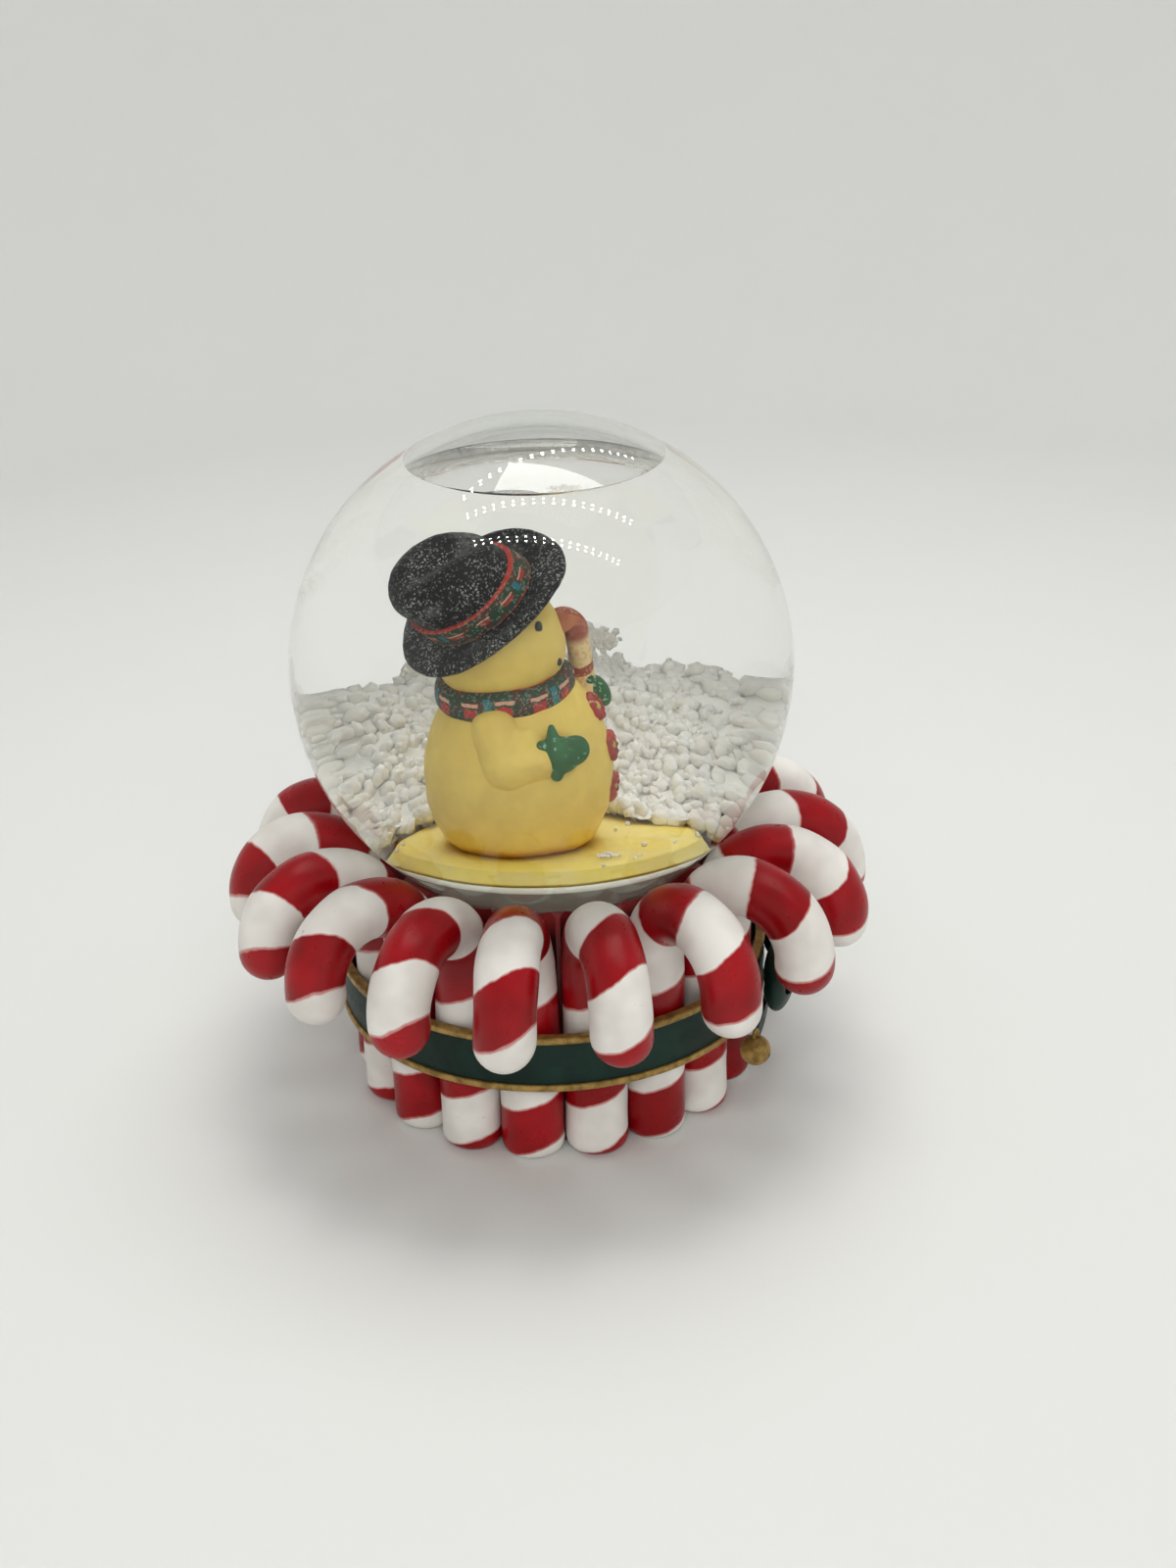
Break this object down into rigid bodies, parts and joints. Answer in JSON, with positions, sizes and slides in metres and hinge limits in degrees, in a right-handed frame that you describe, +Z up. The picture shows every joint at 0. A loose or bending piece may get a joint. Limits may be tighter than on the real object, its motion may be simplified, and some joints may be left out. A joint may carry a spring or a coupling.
{
  "type": "musical snow globe",
  "caption": "Water-filled glass snow globe with a snowman, on a base of outward-hooked candy canes tied with a green ribbon band, over a wind-up music movement.",
  "frame": {"origin": "centre of the foot ring, on the surface that the globe stands on", "axes": "+Z up through the globe; -Y is the front, where the bow is"},
  "size_m": [0.1322, 0.134, 0.1392],
  "materials": {
    "cane_paint": "hand-painted red and white polyresin, pearly gloss",
    "cane_paint_swapped": "hand-painted white and red polyresin, colours swapped",
    "base_casting": "polyresin, painted in the flutes, bare inside",
    "ribbon_green": "dark green satin paint",
    "antique_gold": "antique matte gold paint",
    "clear_glass": "clear polished",
    "water_clear": "clear liquid",
    "plug_offwhite": "aged off-white rubber",
    "yellow_scenery": "aged cream-yellow polyresin",
    "snowman_cream": "aged cream-yellow polyresin",
    "white_flake": "white plastic flakes",
    "black_glitter": "black paint with fine silver glitter",
    "plaid": "hand-painted plaid",
    "mitten_green": "dark green paint",
    "coal": "black paint",
    "carrot": "faded orange paint",
    "wreath_red": "red paint with yellow-green centre",
    "little_cane": "cream and red paint",
    "zinc": "zinc-plated steel",
    "brass": "machined",
    "spring_steel": "ground",
    "cover_plastic": "moulded black"
  },
  "bodies": {
    "globe_and_base": {"base_core": "base_casting", "bedplate": "zinc", "bottom_cover": "cover_plastic", "bow_knot": "ribbon_green", "bow_loop_left": "ribbon_green", "bow_loop_right": "ribbon_green", "bow_tail_left": "ribbon_green", "bow_tail_right": "ribbon_green", "cane_01": "cane_paint", "cane_02": "cane_paint_swapped", "cane_03": "cane_paint", "cane_04": "cane_paint_swapped", "cane_05": "cane_paint", "cane_06": "cane_paint_swapped", "cane_07": "cane_paint", "cane_08": "cane_paint_swapped", "cane_09": "cane_paint", "cane_10": "cane_paint_swapped", "cane_11": "cane_paint", "cane_12": "cane_paint_swapped", "cane_13": "cane_paint", "cane_14": "cane_paint_swapped", "cane_15": "cane_paint", "cane_16": "cane_paint_swapped", "cane_17": "cane_paint", "cane_18": "cane_paint_swapped", "carrot_nose": "carrot", "coal_face": "coal", "globe_glass": "clear_glass", "globe_plug": "plug_offwhite", "gold_trim_lower": "antique_gold", "gold_trim_upper": "antique_gold", "governor_bracket": "zinc", "hat": "black_glitter", "hat_band": "plaid", "held_candy_cane": "little_cane", "jingle_bell_left": "antique_gold", "jingle_bell_right": "antique_gold", "left_arm": "snowman_cream", "left_mitten": "mitten_green", "movement_screws": "zinc", "music_comb": "spring_steel", "ribbon_band": "ribbon_green", "right_arm": "snowman_cream", "right_mitten": "mitten_green", "scarf": "plaid", "scenic_slab": "yellow_scenery", "snow_flakes": "white_flake", "snowman_body": "snowman_cream", "snowman_head": "snowman_cream", "water": "water_clear", "wreath_button_1": "wreath_red", "wreath_button_2": "wreath_red", "wreath_button_3": "wreath_red"},
    "winder": {"winding_key": "zinc", "spring_barrel": "brass"},
    "music_cylinder": {"pinned_cylinder": "brass"},
    "air_brake": {"governor_fan": "brass"}
  },
  "joints": [
    {"name": "key_turn", "type": "hinge", "parent": "globe_and_base", "child": "winder", "pos_m": [0, 0, 0.01], "axis": [0, 0, 1], "continuous": true},
    {"name": "cylinder_turn", "type": "hinge", "parent": "globe_and_base", "child": "music_cylinder", "pos_m": [0, 0, 0.0202], "axis": [1, 0, 0], "continuous": true},
    {"name": "fan_spin", "type": "hinge", "parent": "globe_and_base", "child": "air_brake", "pos_m": [-0.015, 0.008, 0.02], "axis": [0, 0, 1], "continuous": true}
  ],
  "couplings": [
    {"joint": "cylinder_turn", "follows": "key_turn", "ratio": 3.4286},
    {"joint": "fan_spin", "follows": "key_turn", "ratio": 40}
  ]
}
